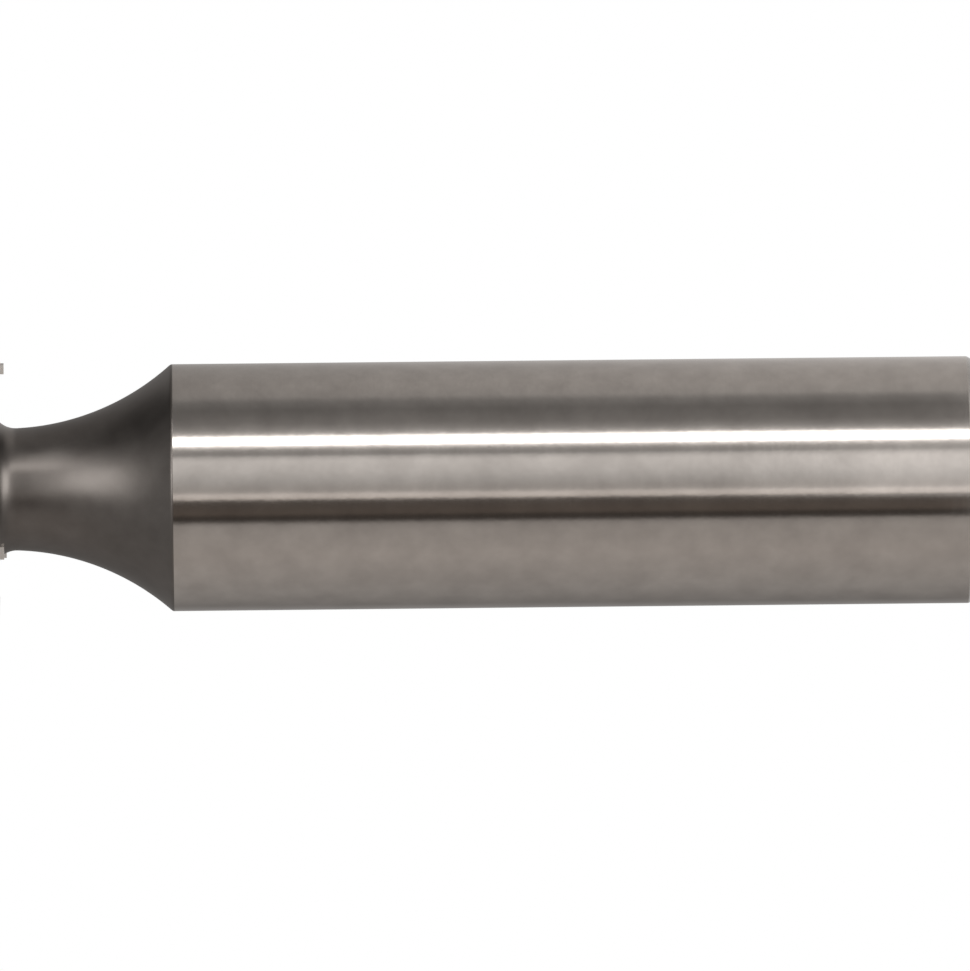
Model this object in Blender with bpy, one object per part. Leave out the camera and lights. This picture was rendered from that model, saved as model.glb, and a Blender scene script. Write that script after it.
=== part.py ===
"""A straight-shank milling cutter for half-round keyseats, for a 1/2 x 1/8 inch key.

The tool is one piece of high-speed steel: a plain ground shank, a neck turned to one large
arc, and a narrow head whose straight teeth cut on their edge and, by turns, on one side or
the other. It is right-hand cutting, so it turns counter-clockwise seen from the head. It
stands on its shank end, with the tool axis on Z, the shank end at z = 0, and one cutting
edge on +X.
"""

import math

import bmesh
import bpy
from mathutils import Matrix, Vector

# Driving dimensions, in metres and degrees

# Lengths along the axis
LENGTH_BEHIND_HEAD = 0.0508
HEAD_WIDTH = 0.003175

# Shank
SHANK_DIAMETER = 0.0127
SHANK_CHAMFER_LENGTH = 0.0013
SHANK_CHAMFER_ANGLE = 30.0

# The hone's round on the two edges of the shank's side
EDGE_RADIUS = 0.00025

# Neck: an arc that runs out through the shank, thinnest just behind the head
NECK_DIAMETER = 0.00627
NECK_RELIEF_RADIUS = 0.0127
NECK_RELIEF_SETBACK = 0.00014
NECK_FILLET_RADIUS = 0.00118

# Head: both sides are dished inside a narrow land, so that only the land can rub
HEAD_DIAMETER = 0.0130
SIDE_LAND_HEIGHT = 0.00057
BACK_DISH_DEPTH = 0.0006
FRONT_DISH_DEPTH = 0.0006
DISH_CORNER_RADIUS = 0.00025

# Teeth
TOOTH_COUNT = 6
RAKE_ANGLE = 8.0
LAND_WIDTH = 0.0008
LAND_RELIEF_ANGLE = 10.0
BACK_RELIEF_ANGLE = 30.0
GULLET_ANGLE = 65.0
GULLET_DEPTH = 0.00205
GULLET_ROOT_RADIUS = 0.0006

# Each side is cut by every second tooth, where a narrow land behind the edge keeps the full
# width, and the rest of the rim stands back. A gullet's middle is given as the share of a
# pitch by which it lies past a cutting edge.
SIDE_LAND_WIDTH = 0.0008
SIDE_RELIEF_DEPTH = 0.00033
SIDE_RELIEF_REACH = 0.0008
GULLET_MIDDLE = 1 / 3

# Centres: the holes in both ends that the blank turned on
CENTRE_DIAMETER = 0.0020
CENTRE_ANGLE = 60.0
CENTRE_PILOT_DIAMETER = 0.0008
CENTRE_PILOT_DEPTH = 0.0008

# Stock on the blank's rim, which the tooth cutter takes off, and how far that cutter runs clear
RIM_STOCK = 0.0001
CUTTER_OVERRUN = 0.0005

# Facets
TURNED_SIDES = 72
EDGE_STEPS = 3
RELIEF_STEPS = 12
FILLET_STEPS = 5
CORNER_STEPS = 3
ROOT_STEPS = 5
RELIEF_RING_STEPS = 10
SHARP_ANGLE = 25.0

# Places that follow from the driving dimensions
SHANK_RADIUS = SHANK_DIAMETER / 2
HEAD_RADIUS = HEAD_DIAMETER / 2
HEAD_BACK = LENGTH_BEHIND_HEAD
HEAD_FRONT = HEAD_BACK + HEAD_WIDTH
LAND_INNER_RADIUS = HEAD_RADIUS - SIDE_LAND_HEIGHT
CLEAR_RADIUS = HEAD_RADIUS + RIM_STOCK + CUTTER_OVERRUN
TOOTH_PITCH = 2 * math.pi / TOOTH_COUNT


def direction(angle):
    """The unit vector at this angle from the first axis of its plane."""
    return Vector((math.cos(angle), math.sin(angle)))


def arc(centre, radius, start, end, steps):
    """Points on an arc from the start angle to the end angle, both ends included."""
    return [
        centre + radius * direction(start + (end - start) * step / steps)
        for step in range(steps + 1)
    ]


def crossing(point, way, other_point, other_way):
    """Where two lines of a plane cross, each given by a point and a direction."""
    between = other_point - point
    return point + way * (between.cross(other_way) / way.cross(other_way))


def centre_hole(face, inward):
    """Half the section of a centre hole, from its bottom out to its mouth in the face."""
    mouth = CENTRE_DIAMETER / 2
    pilot = CENTRE_PILOT_DIAMETER / 2
    cone_depth = (mouth - pilot) / math.tan(math.radians(CENTRE_ANGLE / 2))
    bottom = cone_depth + CENTRE_PILOT_DEPTH
    return [
        Vector((0, face + inward * bottom)),
        Vector((pilot, face + inward * bottom)),
        Vector((pilot, face + inward * cone_depth)),
        Vector((mouth, face)),
    ]


def shank_section():
    """Half the section of the shank's end, from the end face to the top of its chamfer."""
    slant = math.radians(SHANK_CHAMFER_ANGLE)
    foot = Vector((SHANK_RADIUS - SHANK_CHAMFER_LENGTH * math.tan(slant), 0))
    round_z = SHANK_CHAMFER_LENGTH + EDGE_RADIUS * math.tan(slant / 2)
    edge = Vector((SHANK_RADIUS - EDGE_RADIUS, round_z))
    return [foot] + arc(edge, EDGE_RADIUS, -slant, 0, EDGE_STEPS)


def neck_section():
    """Half the section of the neck, from the shank's side to the floor of the back dish."""
    relief = Vector((NECK_DIAMETER / 2 + NECK_RELIEF_RADIUS, HEAD_BACK - NECK_RELIEF_SETBACK))

    # The shoulder's round touches both the shank's side and the relief arc.
    reach = NECK_RELIEF_RADIUS + EDGE_RADIUS
    shoulder = math.acos((relief.x - SHANK_RADIUS + EDGE_RADIUS) / reach)
    edge = arc(relief - reach * direction(shoulder), EDGE_RADIUS, 0, shoulder, EDGE_STEPS)

    fillet_z = HEAD_BACK + BACK_DISH_DEPTH - NECK_FILLET_RADIUS
    blend = math.asin((fillet_z - relief.y) / (NECK_RELIEF_RADIUS - NECK_FILLET_RADIUS))
    fillet = relief + (NECK_RELIEF_RADIUS - NECK_FILLET_RADIUS) * direction(math.pi - blend)
    swept = arc(
        relief, NECK_RELIEF_RADIUS, math.pi + shoulder, math.pi - blend, RELIEF_STEPS
    )
    rounded = arc(fillet, NECK_FILLET_RADIUS, math.pi - blend, math.pi / 2, FILLET_STEPS)
    return edge + swept[1:] + rounded[1:]


def dish_section(side, depth, inward):
    """Half the section of a dished side, from the floor's outer corner to the rim's corner."""
    corner_radius = min(DISH_CORNER_RADIUS, depth)
    corner = Vector((LAND_INNER_RADIUS - corner_radius, side + inward * (depth - corner_radius)))
    rounded = arc(corner, corner_radius, inward * math.pi / 2, 0, CORNER_STEPS)
    return rounded + [
        Vector((LAND_INNER_RADIUS, side)),
        Vector((HEAD_RADIUS + RIM_STOCK, side)),
    ]


def blank_section():
    """Half the section of the turned blank, from the bottom of one centre hole to the other."""
    back = dish_section(HEAD_BACK, BACK_DISH_DEPTH, 1)
    front = dish_section(HEAD_FRONT, FRONT_DISH_DEPTH, -1)
    shank_centre = centre_hole(0, 1)
    head_centre = centre_hole(HEAD_FRONT - FRONT_DISH_DEPTH, -1)
    return shank_centre + shank_section() + neck_section() + back + front[::-1] + head_centre[::-1]


def finished_mesh(name, shape):
    """A mesh from a closed shape, with its faces pointing out and its round faces smooth."""
    bmesh.ops.recalc_face_normals(shape, faces=shape.faces)
    mesh = bpy.data.meshes.new(name)
    shape.to_mesh(mesh)
    shape.free()
    mesh.shade_smooth()
    mesh.set_sharp_from_angle(angle=math.radians(SHARP_ANGLE))
    return mesh


def turned_mesh(name, section):
    """The solid that half a section makes when it is spun once round the tool axis."""
    shape = bmesh.new()
    points = [shape.verts.new((point.x, 0, point.y)) for point in section]
    edges = [shape.edges.new(pair) for pair in zip(points, points[1:])]
    bmesh.ops.spin(
        shape,
        geom=points + edges,
        axis=(0, 0, 1),
        cent=(0, 0, 0),
        angle=2 * math.pi,
        steps=TURNED_SIDES,
        use_merge=True,
    )
    bmesh.ops.remove_doubles(shape, verts=shape.verts, dist=1e-6)
    return finished_mesh(name, shape)


def tooth_outline():
    """One pitch of the head's outline: down the face of the tooth on +X, round the root of
    its gullet, up the back of the next tooth and along that tooth's land."""
    edge = HEAD_RADIUS * direction(0)
    face_angle = math.pi + math.radians(RAKE_ANGLE)
    root_circle = HEAD_RADIUS - GULLET_DEPTH + GULLET_ROOT_RADIUS

    # The root's centre is its radius off the face line, and on the circle that sets the depth.
    off_face = edge + GULLET_ROOT_RADIUS * direction(face_angle - math.pi / 2)
    along = off_face.dot(direction(face_angle))
    reach = -along - math.sqrt(along**2 - off_face.length_squared + root_circle**2)
    root = off_face + reach * direction(face_angle)
    wall_angle = math.radians(RAKE_ANGLE + GULLET_ANGLE)
    rounded = arc(
        root, GULLET_ROOT_RADIUS, face_angle + math.pi / 2, wall_angle + math.pi / 2, ROOT_STEPS
    )

    next_edge = HEAD_RADIUS * direction(TOOTH_PITCH)
    trailing = TOOTH_PITCH - math.pi / 2
    land_way = direction(trailing - math.radians(LAND_RELIEF_ANGLE))
    back_way = direction(trailing - math.radians(BACK_RELIEF_ANGLE))
    heel = next_edge + LAND_WIDTH * land_way
    wall_top = crossing(rounded[-1], direction(wall_angle), heel, back_way)
    return [edge] + rounded + [wall_top, heel]


def head_outline():
    """The whole toothed outline of the head, counter-clockwise seen from the front."""
    pitch = tooth_outline()
    return [
        Matrix.Rotation(tooth * TOOTH_PITCH, 2) @ point
        for tooth in range(TOOTH_COUNT)
        for point in pitch
    ]


def closed_loop(shape, outline, height):
    """The edges of a closed outline laid flat at this height."""
    points = [shape.verts.new((point.x, point.y, height)) for point in outline]
    return [shape.edges.new(pair) for pair in zip(points, points[1:] + points[:1])]


def raised_mesh(name, outlines, bottom, top):
    """The solid between two heights inside these outlines, where an inner outline is a hole."""
    shape = bmesh.new()
    edges = [edge for outline in outlines for edge in closed_loop(shape, outline, bottom)]
    bmesh.ops.triangle_fill(shape, edges=edges, use_beauty=True)
    raised = bmesh.ops.extrude_face_region(shape, geom=shape.faces[:])
    moved = [item for item in raised["geom"] if isinstance(item, bmesh.types.BMVert)]
    bmesh.ops.translate(shape, verts=moved, vec=(0, 0, top - bottom))
    return finished_mesh(name, shape)


def tooth_cutter_mesh(name):
    """A ring whose hole is the toothed outline, so that taking it off the blank leaves the teeth."""
    rim = arc(Vector((0, 0)), CLEAR_RADIUS, 0, 2 * math.pi, TURNED_SIDES)[:-1]
    bottom = HEAD_BACK - CUTTER_OVERRUN
    return raised_mesh(name, [head_outline(), rim], bottom, HEAD_FRONT + CUTTER_OVERRUN)


def relief_outline(tooth):
    """The part of a ring that holds this tooth, from the gullet behind it to the side land of
    the next tooth."""
    axis = Vector((0, 0))
    start = (tooth - 1 + GULLET_MIDDLE) * TOOTH_PITCH
    end = (tooth + 1) * TOOTH_PITCH - SIDE_LAND_WIDTH / HEAD_RADIUS
    inner_radius = HEAD_RADIUS - SIDE_RELIEF_REACH
    outer = arc(axis, CLEAR_RADIUS, start, end, RELIEF_RING_STEPS)
    return outer + arc(axis, inner_radius, end, start, RELIEF_RING_STEPS)


def side_relief_mesh(name, first_tooth, bottom, top):
    """What the side wheel takes off the rim, but for the side lands between these teeth."""
    teeth = range(first_tooth, TOOTH_COUNT, 2)
    return raised_mesh(name, [relief_outline(tooth) for tooth in teeth], bottom, top)


def high_speed_steel():
    """Ground high-speed steel: bright, slightly warm grey."""
    material = bpy.data.materials.new("high_speed_steel")
    material.use_nodes = True
    surface = material.node_tree.nodes["Principled BSDF"]
    surface.inputs["Base Color"].default_value = (0.44, 0.42, 0.40, 1)
    surface.inputs["Metallic"].default_value = 1
    surface.inputs["Roughness"].default_value = 0.28
    return material


def place(name, mesh):
    """An object for a mesh that already lies in its place."""
    item = bpy.data.objects.new(name, mesh)
    bpy.context.scene.collection.objects.link(item)
    return item


def take_off(tool, mesh):
    """Cuts the shape of a mesh out of the tool."""
    wheel = place(mesh.name, mesh)
    wheel.hide_render = True
    wheel.display_type = "WIRE"
    cut = tool.modifiers.new(mesh.name, "BOOLEAN")
    cut.operation = "DIFFERENCE"
    cut.solver = "EXACT"
    cut.object = wheel


def build_keyseat_cutter():
    tool = place("keyseat_cutter", turned_mesh("keyseat_cutter", blank_section()))
    tool.data.materials.append(high_speed_steel())
    take_off(tool, tooth_cutter_mesh("tooth_cutter"))

    # The tooth on +X cuts the back side and stands back from the front one, the next the reverse.
    front = HEAD_FRONT - SIDE_RELIEF_DEPTH
    back = HEAD_BACK + SIDE_RELIEF_DEPTH
    take_off(tool, side_relief_mesh("front_relief", 0, front, HEAD_FRONT + CUTTER_OVERRUN))
    take_off(tool, side_relief_mesh("back_relief", 1, HEAD_BACK - CUTTER_OVERRUN, back))


for item in list(bpy.data.objects):
    bpy.data.objects.remove(item)

build_keyseat_cutter()
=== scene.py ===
"""A half-round keyseat cutter of high-speed steel, standing on its shank on a pale table.

The tool is one piece. Its blank is turned from a bar, the shank is ground, and the teeth
are ground into the narrow head. Lengths are in metres, and angles are written in degrees.
"""

import math

import bmesh
import bpy
from mathutils import Matrix, Vector


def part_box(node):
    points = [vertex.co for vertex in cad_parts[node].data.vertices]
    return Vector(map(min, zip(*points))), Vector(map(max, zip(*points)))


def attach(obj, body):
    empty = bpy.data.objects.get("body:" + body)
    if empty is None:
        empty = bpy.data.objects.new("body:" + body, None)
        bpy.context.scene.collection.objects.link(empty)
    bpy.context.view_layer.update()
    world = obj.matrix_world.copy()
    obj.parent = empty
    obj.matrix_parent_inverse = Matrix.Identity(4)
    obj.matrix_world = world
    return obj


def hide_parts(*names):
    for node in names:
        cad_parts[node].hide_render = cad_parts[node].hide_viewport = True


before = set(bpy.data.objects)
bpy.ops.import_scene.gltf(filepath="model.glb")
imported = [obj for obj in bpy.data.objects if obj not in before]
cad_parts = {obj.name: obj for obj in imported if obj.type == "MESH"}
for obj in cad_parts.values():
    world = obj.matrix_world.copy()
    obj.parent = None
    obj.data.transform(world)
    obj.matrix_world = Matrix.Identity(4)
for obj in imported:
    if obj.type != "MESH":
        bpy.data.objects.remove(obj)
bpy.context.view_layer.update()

# The blank, turned from a bar
# High-speed steel, with a plain shank, a neck relieved to one large arc so that it clears the
# keyseat, and a narrow head. It is turned between centres, which leave a hole in each end.

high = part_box("keyseat_cutter")[1]
head_front = high.z
tip_radius = high.x
shank_radius = high.y

head_width = 0.003175
head_back = head_front - head_width
neck_radius = 0.003135
relief_radius = 0.0127
relief_setback = 0.00014
fillet_radius = 0.00118
edge_radius = 0.00025
chamfer_length = 0.0013
chamfer_slant = math.radians(30)
side_land_height = 0.00057
back_dish_depth = 0.0006
front_dish_depth = 0.0006
dish_corner_radius = 0.00025
centre_mouth_radius = 0.0010
centre_pilot_radius = 0.0004
centre_pilot_depth = 0.0008
centre_slant = math.radians(30)
rim_stock = 0.0001
held_edge = 0.00003

# How many straight steps make up each curve.
turned_sides = 360
chamfer_steps = 6
shoulder_steps = 8
relief_steps = 64
fillet_steps = 16
dish_steps = 8


def direction(angle):
    """The unit vector at this angle from the first axis of its plane."""
    return Vector((math.cos(angle), math.sin(angle)))


def arc(centre, radius, start, end, steps):
    """Points on an arc from the start angle to the end angle, both ends included."""
    return [
        centre + radius * direction(start + (end - start) * step / steps)
        for step in range(steps + 1)
    ]


def held(start, end):
    """Two points just inside a straight run, which keep its shading flat up to its ends."""
    way = (end - start).normalized() * held_edge
    return [start + way, end - way]


def joined(*runs):
    """One outline from several runs of points, with the straights between them held flat."""
    outline = list(runs[0])
    for run in runs[1:]:
        outline += held(outline[-1], run[0]) + list(run)
    return outline


def centre_hole(face, inward):
    """Half the section of a centre hole, from its bottom out to its mouth in the face."""
    cone_depth = (centre_mouth_radius - centre_pilot_radius) / math.tan(centre_slant)
    bottom = face + inward * (cone_depth + centre_pilot_depth)
    return [
        Vector((0, bottom)),
        Vector((centre_pilot_radius, bottom)),
        Vector((centre_pilot_radius, face + inward * cone_depth)),
        Vector((centre_mouth_radius, face)),
    ]


def neck_runs():
    """The shoulder's round, the relief arc and the fillet under the head, which flow together."""
    swing = Vector((neck_radius + relief_radius, head_back - relief_setback))
    reach = relief_radius + edge_radius
    shoulder = math.acos((swing.x - shank_radius + edge_radius) / reach)
    edge = swing - reach * direction(shoulder)
    inner = relief_radius - fillet_radius
    blend = math.asin((head_back + back_dish_depth - fillet_radius - swing.y) / inner)
    fillet = swing + inner * direction(math.pi - blend)
    turned = arc(edge, edge_radius, 0, shoulder, shoulder_steps)
    swept = arc(swing, relief_radius, math.pi + shoulder, math.pi - blend, relief_steps)
    rounded = arc(fillet, fillet_radius, math.pi - blend, math.pi / 2, fillet_steps)
    return turned + swept[1:] + rounded[1:]


def dish_runs(side, depth, inward):
    """A dished side's corner arc, and its narrow land out to the rim."""
    inner_radius = tip_radius - side_land_height
    corner_level = side + inward * (depth - dish_corner_radius)
    corner = Vector((inner_radius - dish_corner_radius, corner_level))
    rounded = arc(corner, dish_corner_radius, inward * math.pi / 2, 0, dish_steps)
    land = [Vector((inner_radius, side)), Vector((tip_radius + rim_stock, side))]
    return rounded, land


def half_section():
    """Half the section of the blank, from the bottom of the shank's centre to the head's."""
    chamfer_foot = Vector((shank_radius - chamfer_length * math.tan(chamfer_slant), 0))
    round_height = chamfer_length + edge_radius * math.tan(chamfer_slant / 2)
    edge = Vector((shank_radius - edge_radius, round_height))
    chamfer_round = arc(edge, edge_radius, -chamfer_slant, 0, chamfer_steps)
    back_corner, back_land = dish_runs(head_back, back_dish_depth, 1)
    front_corner, front_land = dish_runs(head_front, front_dish_depth, -1)
    return joined(
        centre_hole(0, 1),
        [chamfer_foot],
        chamfer_round,
        neck_runs(),
        back_corner,
        back_land,
        front_land[::-1],
        front_corner[::-1],
        centre_hole(head_front - front_dish_depth, -1)[::-1],
    )


def outline_object(name, points, closed=False):
    """An object that holds an outline as a chain of edges."""
    mesh = bpy.data.meshes.new(name)
    links = [(place, place + 1) for place in range(len(points) - 1)]
    if closed:
        links.append((len(points) - 1, 0))
    mesh.from_pydata(points, links, [])
    item = bpy.data.objects.new(name, mesh)
    bpy.context.scene.collection.objects.link(item)
    return item


cutter = outline_object("cutter_body", [(point.x, 0, point.y) for point in half_section()])


def add(tree, kind, inputs=None, **settings):
    """Adds a node with its settings. Each input is a value, or the node or socket that feeds it."""
    node = tree.nodes.new(kind)
    for name, value in settings.items():
        setattr(node, name, value)
    for name, value in (inputs or {}).items():
        socket = node.inputs[name]
        if isinstance(name, str):
            socket = next(item for item in node.inputs if item.name == name and item.enabled)
        if isinstance(value, bpy.types.Node):
            value = value.outputs[0]
        if isinstance(value, bpy.types.NodeSocket):
            tree.links.new(value, socket)
        else:
            socket.default_value = value
    return node


def maths(tree, operation, *terms):
    """Adds a node that works out one operation on these terms."""
    return add(tree, "ShaderNodeMath", dict(enumerate(terms)), operation=operation)


def linear(code):
    """A colour's sRGB hex code as linear red, green, blue and alpha."""
    channels = [int(code[place : place + 2], 16) / 255 for place in (0, 2, 4)]
    return [
        level / 12.92 if level <= 0.04045 else ((level + 0.055) / 1.055) ** 2.4
        for level in channels
    ] + [1]


# The gullets between the teeth
# Six form-ground gullets leave straight teeth with positive rake: a flat face, a round root, a
# relieved back and a narrow land behind each cutting edge.

tooth_count = 6
tooth_pitch = 2 * math.pi / tooth_count
rake = math.radians(8)
land_width = 0.0008
land_relief = math.radians(10)
back_relief = math.radians(30)
gullet_angle = math.radians(65)
gullet_depth = 0.00205
root_radius = 0.0006
root_steps = 16
overrun = 0.0005
overlap = math.radians(2)
overrun_steps = 24


def crossing(point, way, other_point, other_way):
    """Where two lines of a plane cross, each given by a point and a direction."""
    between = other_point - point
    return point + way * (between.cross(other_way) / way.cross(other_way))


def gullet_outline():
    """The space between two teeth: in along one face, round the root, out along the next
    tooth's back and land, and round outside the rim."""
    face_way = math.pi + rake
    root_circle = tip_radius - gullet_depth + root_radius
    off_face = tip_radius * direction(0) + root_radius * direction(face_way - math.pi / 2)
    along = off_face.dot(direction(face_way))
    reach = -along - math.sqrt(along**2 - off_face.length_squared + root_circle**2)
    root = off_face + reach * direction(face_way)
    wall_way = rake + gullet_angle
    rounded = arc(root, root_radius, face_way + math.pi / 2, wall_way + math.pi / 2, root_steps)

    trailing = tooth_pitch - math.pi / 2
    next_edge = tip_radius * direction(tooth_pitch)
    heel = next_edge + land_width * direction(trailing - land_relief)
    back_way = direction(trailing - back_relief)
    wall_top = crossing(rounded[-1], direction(wall_way), heel, back_way)
    axis = Vector((0, 0))
    outside = arc(axis, tip_radius + overrun, tooth_pitch + overlap, -overlap, overrun_steps)
    inside = joined([tip_radius * direction(0)], rounded, [wall_top], [heel], [next_edge])
    return inside + outside


gullet = outline_object(
    "gullet", [(point.x, point.y, 0) for point in gullet_outline()], closed=True
)

# The side relief
# Each side of the keyseat is cut by every second tooth. There a narrow land behind the edge
# keeps the head's full width, and the side wheel takes the rest of the rim back.

side_land_width = 0.0008
side_relief_depth = 0.00033
side_relief_reach = 0.0008
side_relief_steps = 36

# The middle of a gullet, as a share of the pitch from its face.
gullet_middle = 1 / 3


def relief_outline():
    """The part of a ring that holds the first tooth, from the gullet behind it to the side land
    of the next tooth."""
    axis = Vector((0, 0))
    start = (gullet_middle - 1) * tooth_pitch
    end = tooth_pitch - side_land_width / tip_radius
    outer = arc(axis, tip_radius + overrun, start, end, side_relief_steps)
    return outer + arc(axis, tip_radius - side_relief_reach, end, start, side_relief_steps)


relief = outline_object(
    "side_relief", [(point.x, point.y, 0) for point in relief_outline()], closed=True
)

# The shank's finish
# High-speed steel, centreless ground and lightly honed. It mirrors the room in long bands, with
# the soft orange peel of a through-fed bar and hair-fine scratches that run round it.

shank_cloud_width = 0.0016
shank_scratch_widths = (0.006, 0.006, 0.0001)
shank_scratch_height = 0.0000003
peel_width = 0.0004
peel_height = 0.0000018


def new_steel(name):
    """A new metal, with its node tree, its shader and the place on the object."""
    material = bpy.data.materials.new(name)
    material.use_nodes = True
    tree = material.node_tree
    steel = tree.nodes["Principled BSDF"]
    steel.inputs["Metallic"].default_value = 1
    place = add(tree, "ShaderNodeTexCoord").outputs["Object"]
    return material, tree, steel, place


def blots(tree, place, width, detail):
    """Noise with blots about this wide."""
    return add(
        tree, "ShaderNodeTexNoise", {"Vector": place, "Scale": 1 / width, "Detail": detail}
    )


def scratch_lines(tree, place, widths):
    """Noise drawn out to these widths along X, Y and Z."""
    scale = [1 / width for width in widths]
    stretched = add(tree, "ShaderNodeMapping", {"Vector": place, "Scale": scale})
    return add(tree, "ShaderNodeTexNoise", {"Vector": stretched, "Scale": 1, "Detail": 2})


def tint_steel(tree, steel, pattern, dark, pale):
    """Lets the steel's colour follow a pattern from one hex code to another."""
    ends = {"Factor": pattern, "A": linear(dark), "B": linear(pale)}
    tint = add(tree, "ShaderNodeMix", ends, data_type="RGBA")
    tree.links.new(tint.outputs["Result"], steel.inputs["Base Color"])


def roughen_steel(tree, steel, pattern, smooth, rough):
    """Lets the steel's roughness follow a pattern from one value to another."""
    ends = {"Value": pattern, "To Min": smooth, "To Max": rough}
    shine = add(tree, "ShaderNodeMapRange", ends)
    tree.links.new(shine.outputs[0], steel.inputs["Roughness"])


def ground_shank():
    """Bright, slightly warm steel, with scratches round the bar that spread its shine along it."""
    material, tree, steel, place = new_steel("centreless_ground_high_speed_steel")

    # Clouds a millimetre or two wide, where the skin took the stone a little differently.
    clouds = blots(tree, place, shank_cloud_width, detail=5)
    tint_steel(tree, steel, clouds, dark="9F9994", pale="C4BEB8")

    # Scratches 0.1 mm apart. Real grinding lines are finer, and would not show.
    scratches = scratch_lines(tree, place, shank_scratch_widths)
    roughen_steel(tree, steel, scratches, smooth=0.11, rough=0.16)

    # Orange peel 0.4 mm across, left by the regulating wheel.
    peel = blots(tree, place, peel_width, detail=2)
    waved = add(tree, "ShaderNodeBump", {"Height": peel, "Distance": peel_height})
    lined = add(
        tree,
        "ShaderNodeBump",
        {"Height": scratches, "Distance": shank_scratch_height, "Normal": waved},
    )
    tree.links.new(lined.outputs[0], steel.inputs["Normal"])

    along = add(tree, "ShaderNodeTangent", direction_type="RADIAL", axis="Z")
    tree.links.new(along.outputs[0], steel.inputs["Tangent"])
    steel.inputs["Anisotropic"].default_value = 0.5
    steel.inputs["Anisotropic Rotation"].default_value = 0.25
    return material


# The neck's finish
# The same steel, turned before hardening and left as it came from the furnace: a dark grey skin,
# satin from the turning marks, and a little blotchy.

neck_blotch_width = 0.0012
turning_mark_widths = (0.004, 0.004, 0.00008)
turning_mark_height = 0.000002


def turned_neck():
    """Dark furnace skin over fine turning marks."""
    material, tree, steel, place = new_steel("turned_steel_with_furnace_skin")
    blotches = blots(tree, place, neck_blotch_width, detail=4)
    tint_steel(tree, steel, blotches, dark="625D59", pale="78736F")
    roughen_steel(tree, steel, blotches, smooth=0.33, rough=0.39)

    # Turning marks at a feed of 0.08 mm for each turn.
    marks = scratch_lines(tree, place, turning_mark_widths)
    lined = add(tree, "ShaderNodeBump", {"Height": marks, "Distance": turning_mark_height})
    tree.links.new(lined.outputs[0], steel.inputs["Normal"])
    return material


# The head's finishes
# The sides of the head are ground flat on a face plate, and the gullets with a formed wheel fed
# along the tool. Both are bright, each with the lines of its own wheel.

head_cloud_width = 0.0015
head_scratch_height = 0.0000005
face_scratch_widths = (0.0001, 0.002, 0.002)
gullet_scratch_widths = (0.0001, 0.0001, 0.004)


def ground_head(name, scratch_widths):
    """Bright ground steel whose scratches have these widths along X, Y and Z."""
    material, tree, steel, place = new_steel(name)
    clouds = blots(tree, place, head_cloud_width, detail=3)
    tint_steel(tree, steel, clouds, dark="C2BDB8", pale="D2CECA")

    scratches = scratch_lines(tree, place, scratch_widths)
    roughen_steel(tree, steel, scratches, smooth=0.2, rough=0.34)
    lined = add(tree, "ShaderNodeBump", {"Height": scratches, "Distance": head_scratch_height})
    tree.links.new(lined.outputs[0], steel.inputs["Normal"])
    return material


# The finished cutter
# One solid: the half section is spun into the blank, the gullets and the side relief are ground
# out of its rim, and each zone gets its finish.

seam_gap = 1e-7
crumb_length = 2e-6
crisp_bend = math.radians(25)
floor_margin = 0.00001

# The stone that grinds the shank just touches the shoulder's round.
ground_steps = 1


def raised_solid(tree, outline, bottom, height):
    """The solid inside the outline that an object holds, from this level up by this height."""
    item = add(tree, "GeometryNodeObjectInfo", {"Object": outline})
    curve = add(tree, "GeometryNodeMeshToCurve", {"Mesh": item.outputs["Geometry"]})
    filled = add(tree, "GeometryNodeFillCurve", {"Curve": curve}, mode="NGONS")
    rise = add(tree, "ShaderNodeCombineXYZ", {"Z": height})
    raised = add(
        tree,
        "GeometryNodeExtrudeMesh",
        {"Mesh": filled, "Offset": rise, "Individual": False},
        mode="FACES",
    )
    floor = add(tree, "GeometryNodeFlipFaces", {"Mesh": filled})
    both = add(tree, "GeometryNodeJoinGeometry", {"Geometry": raised})
    tree.links.new(floor.outputs[0], both.inputs["Geometry"])
    closed = add(tree, "GeometryNodeMergeByDistance", {"Geometry": both, "Distance": seam_gap})
    level = add(tree, "ShaderNodeCombineXYZ", {"Z": bottom})
    return add(tree, "GeometryNodeSetPosition", {"Geometry": closed, "Offset": level})


def set_round(tree, solid, count, first, pitch):
    """Copies of a solid round the axis, from the first angle on and a pitch apart."""
    steps = maths(tree, "MULTIPLY", add(tree, "GeometryNodeInputIndex"), pitch)
    turn = add(tree, "ShaderNodeCombineXYZ", {"Z": maths(tree, "ADD", steps, first)})
    points = add(tree, "GeometryNodePoints", {"Count": count})
    return add(
        tree,
        "GeometryNodeInstanceOnPoints",
        {"Points": points, "Instance": solid, "Rotation": turn},
    )


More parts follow.
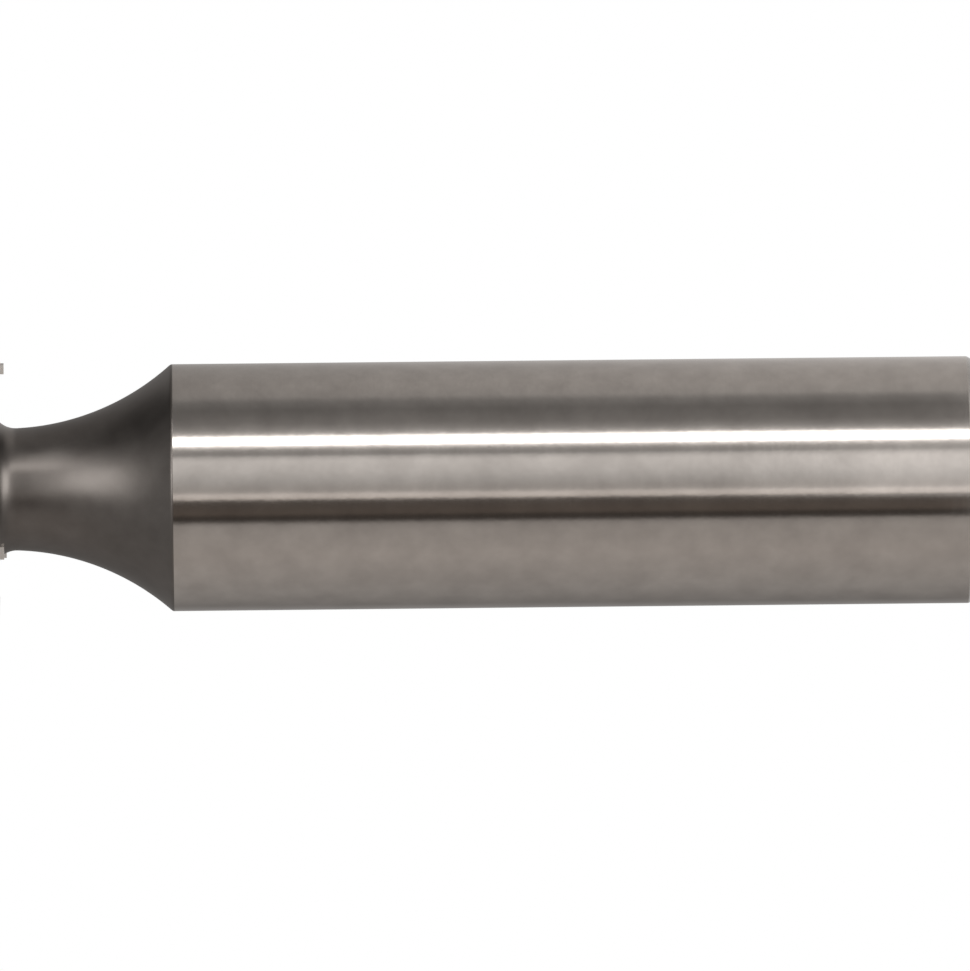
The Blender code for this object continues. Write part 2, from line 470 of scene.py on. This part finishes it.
def spun_blank(tree, given):
    """The blank: a grid with a row for each point of the section, wrapped once round the axis, so
    that the last station of a row meets its first."""
    section = given["Half section"]
    points = add(
        tree, "GeometryNodeAttributeDomainSize", {"Geometry": section}, component="MESH"
    )
    stations = maths(tree, "ADD", given["Sides"], 1.0)
    grid = add(
        tree,
        "GeometryNodeMeshGrid",
        {"Vertices X": points.outputs["Point Count"], "Vertices Y": stations},
    )
    index = add(tree, "GeometryNodeInputIndex")
    row = maths(tree, "FLOOR", maths(tree, "DIVIDE", index, stations))
    station = maths(tree, "MODULO", index, stations)
    share = maths(tree, "DIVIDE", station, given["Sides"])
    angle = maths(tree, "MULTIPLY", share, 2 * math.pi)
    place = add(tree, "GeometryNodeInputPosition")
    section_point = add(
        tree,
        "GeometryNodeSampleIndex",
        {"Geometry": section, "Value": place, "Index": row},
        data_type="FLOAT_VECTOR",
    )
    spun = add(
        tree,
        "ShaderNodeVectorRotate",
        {"Vector": section_point, "Angle": angle},
        rotation_type="Z_AXIS",
    )
    wrapped = add(tree, "GeometryNodeSetPosition", {"Geometry": grid, "Position": spun})
    return add(tree, "GeometryNodeMergeByDistance", {"Geometry": wrapped, "Distance": seam_gap})


def grinding_wheels(tree, given, below):
    """What the wheels take away: the gullets, and the side relief of both sides."""
    above = maths(tree, "ADD", given["Head front"], given["Overrun"])
    through = maths(tree, "SUBTRACT", above, below)
    pitch = maths(tree, "DIVIDE", 2 * math.pi, given["Teeth"])

    # A gullet for each tooth. Its faces carry a mark, for their finish.
    gullet_solid = raised_solid(tree, given["Gullet"], below, through)
    marked = add(
        tree,
        "GeometryNodeStoreNamedAttribute",
        {"Geometry": gullet_solid, "Name": "in_gullet", "Value": True},
        data_type="BOOLEAN",
        domain="FACE",
    )
    gullets = set_round(tree, marked, given["Teeth"], 0.0, pitch)

    # The side relief: at the front for the first tooth and every second one, at the back between.
    half = maths(tree, "DIVIDE", given["Teeth"], 2.0)
    double_pitch = maths(tree, "MULTIPLY", pitch, 2.0)
    deep = maths(tree, "ADD", given["Relief depth"], given["Overrun"])
    front_level = maths(tree, "SUBTRACT", given["Head front"], given["Relief depth"])
    front_solid = raised_solid(tree, given["Relief"], front_level, deep)
    back_solid = raised_solid(tree, given["Relief"], below, deep)
    front_wheels = set_round(tree, front_solid, half, 0.0, double_pitch)
    back_wheels = set_round(tree, back_solid, half, pitch, double_pitch)

    wheels = add(tree, "GeometryNodeJoinGeometry", {"Geometry": gullets})
    tree.links.new(front_wheels.outputs[0], wheels.inputs["Geometry"])
    tree.links.new(back_wheels.outputs[0], wheels.inputs["Geometry"])
    return wheels


def crisp_shading(tree, solid):
    """Round faces are smooth, and sharply bent edges stay crisp."""
    smooth = add(tree, "GeometryNodeSetShadeSmooth", {"Geometry": solid, "Shade Smooth": True})
    bend = add(tree, "GeometryNodeInputMeshEdgeAngle")
    crisp = maths(tree, "GREATER_THAN", bend, crisp_bend)
    return add(
        tree,
        "GeometryNodeSetShadeSmooth",
        {"Geometry": smooth, "Selection": crisp, "Shade Smooth": False},
        domain="EDGE",
    )


def zone_finishes(tree, given, solid, below):
    """Each zone's finish, told by height, by distance from the axis, or by the gullet's mark."""
    place = add(tree, "ShaderNodeSeparateXYZ", {"Vector": add(tree, "GeometryNodeInputPosition")})
    flat = add(tree, "ShaderNodeCombineXYZ", {"X": place.outputs["X"], "Y": place.outputs["Y"]})
    out = add(tree, "ShaderNodeVectorMath", {0: flat}, operation="LENGTH").outputs["Value"]
    level = place.outputs["Z"]
    above_shoulder = maths(tree, "GREATER_THAN", level, given["Shoulder"])
    above_floor = maths(tree, "GREATER_THAN", level, given["Dish floor"])
    wide = maths(tree, "GREATER_THAN", out, given["Neck top radius"])
    behind_head = maths(tree, "GREATER_THAN", level, below)
    outer_head = maths(tree, "MULTIPLY", wide, behind_head)
    on_head = maths(tree, "MAXIMUM", outer_head, above_floor)
    in_gullet = add(
        tree, "GeometryNodeInputNamedAttribute", {"Name": "in_gullet"}, data_type="BOOLEAN"
    )
    for zone, finish in (
        (True, "Shank finish"),
        (above_shoulder, "Neck finish"),
        (on_head, "Head finish"),
        (in_gullet, "Gullet finish"),
    ):
        wanted = {"Geometry": solid, "Selection": zone, "Material": given[finish]}
        solid = add(tree, "GeometryNodeSetMaterial", wanted)
    return solid


def grinding_tree():
    """Spins the half section round Z, and takes the gullets and the side relief out of it."""
    tree = bpy.data.node_groups.new("grinding", "GeometryNodeTree")
    face = tree.interface
    for kind, names in (
        ("Geometry", ("Half section",)),
        ("Object", ("Gullet", "Relief")),
        ("Int", ("Sides", "Teeth")),
        ("Float", ("Head back", "Head front", "Overrun", "Relief depth")),
        ("Float", ("Shoulder", "Dish floor", "Neck top radius")),
        ("Material", ("Shank finish", "Neck finish", "Head finish", "Gullet finish")),
    ):
        for name in names:
            face.new_socket(name, in_out="INPUT", socket_type="NodeSocket" + kind)
    face.new_socket("Cutter", in_out="OUTPUT", socket_type="NodeSocketGeometry")
    given = add(tree, "NodeGroupInput").outputs

    below = maths(tree, "SUBTRACT", given["Head back"], given["Overrun"])
    toothed = add(
        tree,
        "GeometryNodeMeshBoolean",
        {
            "Mesh 1": spun_blank(tree, given),
            "Mesh 2": grinding_wheels(tree, given, below),
            "Self Intersection": True,
        },
        operation="DIFFERENCE",
        solver="EXACT",
    )
    whole = add(tree, "GeometryNodeRealizeInstances", {"Geometry": toothed})

    # The crumbs that the cut leaves along its edges, up to 2 microns long, are closed up.
    clean = add(
        tree, "GeometryNodeMergeByDistance", {"Geometry": whole, "Distance": crumb_length}
    )
    finished = zone_finishes(tree, given, crisp_shading(tree, clean), below)
    add(tree, "NodeGroupOutput", {"Cutter": finished})
    return tree


grinding = cutter.modifiers.new("grinding", "NODES")
grinding.node_group = grinding_tree()
sockets = {item.name: item.identifier for item in grinding.node_group.interface.items_tree}
sizes = {
    "Gullet": gullet,
    "Relief": relief,
    "Sides": turned_sides,
    "Teeth": tooth_count,
    "Head back": head_back,
    "Head front": head_front,
    "Overrun": overrun,
    "Relief depth": side_relief_depth,
    "Shoulder": neck_runs()[ground_steps].y,
    "Dish floor": head_back + back_dish_depth + floor_margin,
    "Neck top radius": neck_runs()[-1].x,
    "Shank finish": ground_shank(),
    "Neck finish": turned_neck(),
    "Head finish": ground_head("face_ground_high_speed_steel", face_scratch_widths),
    "Gullet finish": ground_head("form_ground_high_speed_steel", gullet_scratch_widths),
}
for name, value in sizes.items():
    grinding[sockets[name]] = value

cutter_mesh = bpy.data.meshes.new_from_object(
    cutter.evaluated_get(bpy.context.evaluated_depsgraph_get())
)
cutter.modifiers.clear()
cutter.data = cutter_mesh
for outline in (gullet, relief):
    bpy.data.objects.remove(outline)
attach(cutter, "root")
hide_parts("keyseat_cutter")

# The table
# A small round table top, painted matt white. It is white to the eye and a little less so in the
# steel, and it keeps the soft shadow at the tool's foot.

table_radius = 0.022
table_sides = 128
table_drop = 0.00002
straight_glow = 0.7
mirrored_glow = 0.2


def table_top():
    """A flat disc, just under the shank's end face."""
    shape = bmesh.new()
    bmesh.ops.create_circle(shape, cap_ends=True, radius=table_radius, segments=table_sides)
    bmesh.ops.translate(shape, verts=shape.verts, vec=(0, 0, -table_drop))
    mesh = bpy.data.meshes.new("table_top")
    shape.to_mesh(mesh)
    shape.free()
    item = bpy.data.objects.new("table_top", mesh)
    bpy.context.scene.collection.objects.link(item)
    return item


def painted_white():
    """Matt white paint that looks white to the eye, and a little less so in the steel."""
    material = bpy.data.materials.new("matt_white_paint")
    material.use_nodes = True
    tree = material.node_tree
    tree.nodes.clear()
    path = add(tree, "ShaderNodeLightPath").outputs
    indirect = maths(tree, "MAXIMUM", path["Is Glossy Ray"], path["Is Transmission Ray"])
    straight = maths(tree, "MULTIPLY", path["Is Camera Ray"], straight_glow)
    mirrored = maths(tree, "MULTIPLY", indirect, mirrored_glow)
    strength = maths(tree, "MAXIMUM", straight, mirrored)
    glow = add(tree, "ShaderNodeEmission", {"Strength": strength})
    paint = add(tree, "ShaderNodeBsdfDiffuse", {"Color": linear("E8E8E8")})
    sum_of_both = add(tree, "ShaderNodeAddShader", {0: glow, 1: paint})
    add(tree, "ShaderNodeOutputMaterial", {"Surface": sum_of_both})
    return material


table = table_top()
table.data.materials.append(painted_white())

# The studio
# Pale walls round the table, with a tall strip light, a broad panel and the dark gaps between
# them, which the ground shank mirrors as bands along its length. Soft lamps light the rest.

# The camera's side of the tool, and the side that the photograph has at its top.
camera_side = math.radians(27)
facing = Vector((math.cos(camera_side), math.sin(camera_side), 0))
photo_top = Vector((-facing.y, facing.x, 0))

# Each wall's edge: its angle from the camera's side toward the photograph's top, its light, and
# how warm that light is.
low_walls = [
    (-180, 1.00, 0.05),
    (-172, 0.32, 0.05),
    (-146, 0.28, 0.07),
    (-116, 0.46, 0.06),
    (-67, 0.58, 0.10),
    (-42, 0.53, 0.09),
    (-35.5, 0.46, 0.08),
    (-32, 0.055, 0.25),
    (-27.5, 0.066, 0.25),
    (-26, 0.16, 0.28),
    (-12.7, 0.11, 0.20),
    (-11.4, 1.05, 0.10),
    (-7, 1.05, 0.08),
    (-5.5, 0.62, 0.06),
    (-2, 0.57, 0.06),
    (5, 0.70, 0.02),
    (14, 0.92, 0.02),
    (24, 1.06, 0.02),
    (28, 0.78, 0.02),
    (29.5, 0.36, 0.03),
    (34.4, 0.45, 0.03),
    (37.8, 1.03, 0.02),
    (40.1, 5.2, 0.02),
    (46.0, 5.2, 0.02),
    (49, 0.75, 0.02),
    (55, 0.42, 0.03),
    (61, 0.30, 0.04),
    (76, 0.24, 0.04),
    (86, 0.33, 0.03),
    (93, 0.53, 0.05),
    (106, 0.57, 0.06),
]
high_walls = [
    (-180, 0.42, 0.05),
    (-20, 0.42, 0.05),
    (10, 0.50, 0.05),
    (40, 0.34, 0.05),
    (62, 0.09, 0.05),
    (112, 0.03, 0.05),
    (136, 0.04, 0.05),
    (152, 0.90, 0.05),
    (170, 0.70, 0.05),
]
green_share = 0.6
ceiling_light = 0.45

# Heights in the room are sines of the angle above or below the level. Between these the low
# walls give way to the high ones, and those to the ceiling.
low_walls_end = 0.3
high_walls_start = 0.72
high_walls_end = 0.8
ceiling_start = 0.97

# Past the strip light the wall is paler toward its foot, and so is its band on the shank.
strip_edge = math.radians(50)
shaded_wall = math.radians(95)
shade_top = 0.02
shade_foot = -0.04
light_at_top = 0.58
light_at_foot = 1.22


def ring_of_walls(tree, angle, walls):
    """A colour ramp that holds the walls' light all the way round."""
    place = add(
        tree,
        "ShaderNodeMapRange",
        {"Value": angle, "From Min": -math.pi, "From Max": math.pi},
    )
    ring = add(tree, "ShaderNodeValToRGB", {"Fac": place})
    stops = ring.color_ramp.elements
    while len(stops) < len(walls):
        stops.new(0.5)
    for stop, (wall_edge, light, warmth) in zip(stops, walls):
        stop.position = (wall_edge + 180) / 360
        stop.color = (light, light * (1 - green_share * warmth), light * (1 - warmth), 1)
    return ring


def shaded_low_walls(tree, angle, level):
    """The ring of low walls, with the shading past the strip light."""
    past_strip = add(
        tree,
        "ShaderNodeMapRange",
        {"Value": angle, "From Min": strip_edge, "From Max": shaded_wall},
    )
    toward_foot = add(
        tree,
        "ShaderNodeMapRange",
        {
            "Value": level,
            "From Min": shade_top,
            "From Max": shade_foot,
            "To Min": light_at_top,
            "To Max": light_at_foot,
        },
    )
    shades = add(
        tree, "ShaderNodeMix", {"Factor": past_strip, "A": 1.0, "B": toward_foot}, data_type="FLOAT"
    )
    walls = ring_of_walls(tree, angle, low_walls)
    return add(tree, "ShaderNodeVectorMath", {0: walls, "Scale": shades}, operation="SCALE")


def room_light(tree):
    """The light of the room in each direction: the two rings of walls, and the ceiling."""
    way = add(tree, "ShaderNodeTexCoord").outputs["Generated"]
    toward_top = add(tree, "ShaderNodeVectorMath", {0: way, 1: photo_top}, operation="DOT_PRODUCT")
    toward_camera = add(tree, "ShaderNodeVectorMath", {0: way, 1: facing}, operation="DOT_PRODUCT")
    angle = maths(tree, "ARCTAN2", toward_top.outputs["Value"], toward_camera.outputs["Value"])
    level = add(tree, "ShaderNodeSeparateXYZ", {"Vector": way}).outputs["Z"]
    height = maths(tree, "ABSOLUTE", level)
    over_walls = add(
        tree,
        "ShaderNodeMapRange",
        {"Value": height, "From Min": low_walls_end, "From Max": high_walls_start},
        interpolation_type="SMOOTHSTEP",
    )
    overhead = add(
        tree,
        "ShaderNodeMapRange",
        {"Value": height, "From Min": high_walls_end, "From Max": ceiling_start},
    )
    low_ring = shaded_low_walls(tree, angle, level)
    high_ring = ring_of_walls(tree, angle, high_walls)
    walls = add(
        tree,
        "ShaderNodeMix",
        {"Factor": over_walls, "A": low_ring, "B": high_ring},
        data_type="RGBA",
    ).outputs["Result"]
    ceiling = (ceiling_light, ceiling_light, ceiling_light, 1)
    return add(
        tree,
        "ShaderNodeMix",
        {"Factor": overhead, "A": walls, "B": ceiling},
        data_type="RGBA",
    ).outputs["Result"]


def studio_world():
    """White to the eye, and to everything else the light of the room."""
    world = bpy.data.worlds.new("studio")
    world.use_nodes = True
    tree = world.node_tree
    tree.nodes.clear()
    path = add(tree, "ShaderNodeLightPath").outputs
    lit = add(tree, "ShaderNodeBackground", {"Color": room_light(tree)})
    white = add(tree, "ShaderNodeBackground", {"Color": (1, 1, 1, 1)})
    seen = add(tree, "ShaderNodeMixShader", {0: path["Is Camera Ray"], 1: lit, 2: white})
    add(tree, "ShaderNodeOutputWorld", {"Surface": seen})
    return world


bpy.context.scene.world = studio_world()


def softbox(name, angle, height, distance, width, light):
    """A square soft lamp at this angle from the camera's side and this height, in degrees. The
    lens doesn't see it."""
    lamp = bpy.data.lights.new(name, "AREA")
    lamp.size = width
    lamp.energy = light * math.pi * width**2
    item = bpy.data.objects.new(name, lamp)
    level = math.cos(math.radians(angle)) * facing + math.sin(math.radians(angle)) * photo_top
    upright = Vector((0, 0, math.sin(math.radians(height))))
    toward = math.cos(math.radians(height)) * level + upright
    item.location = Vector((0, 0, head_back)) + distance * toward
    item.rotation_euler = toward.to_track_quat("Z", "Y").to_euler()
    item.visible_camera = False
    bpy.context.scene.collection.objects.link(item)


# Three softboxes light the neck and the head.
softbox("front_softbox", angle=14, height=41, distance=0.6, width=0.33, light=2.6)
softbox("side_softbox", angle=60, height=14, distance=0.6, width=0.11, light=2.8)
softbox("low_softbox", angle=16, height=-51, distance=0.6, width=0.38, light=2.7)

# A dim card close by, just below the lens's view of the foot, lightens the end of the shank.
softbox("low_card", angle=12, height=-45, distance=0.139, width=0.146, light=0.33)

# The camera
# It looks straight at the tool's side from far enough away that the bands stay straight, and
# is rolled a quarter turn and a little more, so that the tool lies across the picture.

photo_width = 970
photo_height = 971
shoulder_px = 171.5
pixels_per_metre = 19450
camera_distance = 1.0
camera_height = 0.0386
axis_tilt = math.radians(0.59)
axis_row_at_middle = 484.08


def tool_camera():
    """A long lens, level with the upper part of the shank."""
    lens = bpy.data.cameras.new("camera")
    lens.sensor_width = 36
    lens.lens = pixels_per_metre * camera_distance * lens.sensor_width / photo_height
    lens.clip_start = 0.01
    lens.clip_end = 10
    item = bpy.data.objects.new("camera", lens)
    bpy.context.scene.collection.objects.link(item)

    middle_px = (photo_width - 1) / 2
    shoulder_level = neck_runs()[shoulder_steps // 2].y
    middle_height = shoulder_level - (middle_px - shoulder_px) / pixels_per_metre
    below_axis = ((photo_height - 1) / 2 - axis_row_at_middle) / pixels_per_metre
    aim = Vector((0, 0, middle_height)) - below_axis * photo_top
    rise = camera_height - middle_height
    place = aim + math.sqrt(camera_distance**2 - rise**2) * facing + Vector((0, 0, rise))
    looking = (place - aim).normalized()
    tilted = math.cos(axis_tilt) * photo_top - Vector((0, 0, math.sin(axis_tilt)))
    right = tilted.cross(looking).normalized()
    up = looking.cross(right)
    axes = Matrix((right, up, looking)).transposed()
    item.matrix_world = Matrix.Translation(place) @ axes.to_4x4()
    return item


bpy.context.scene.camera = tool_camera()
bpy.context.scene.view_settings.view_transform = "Standard"
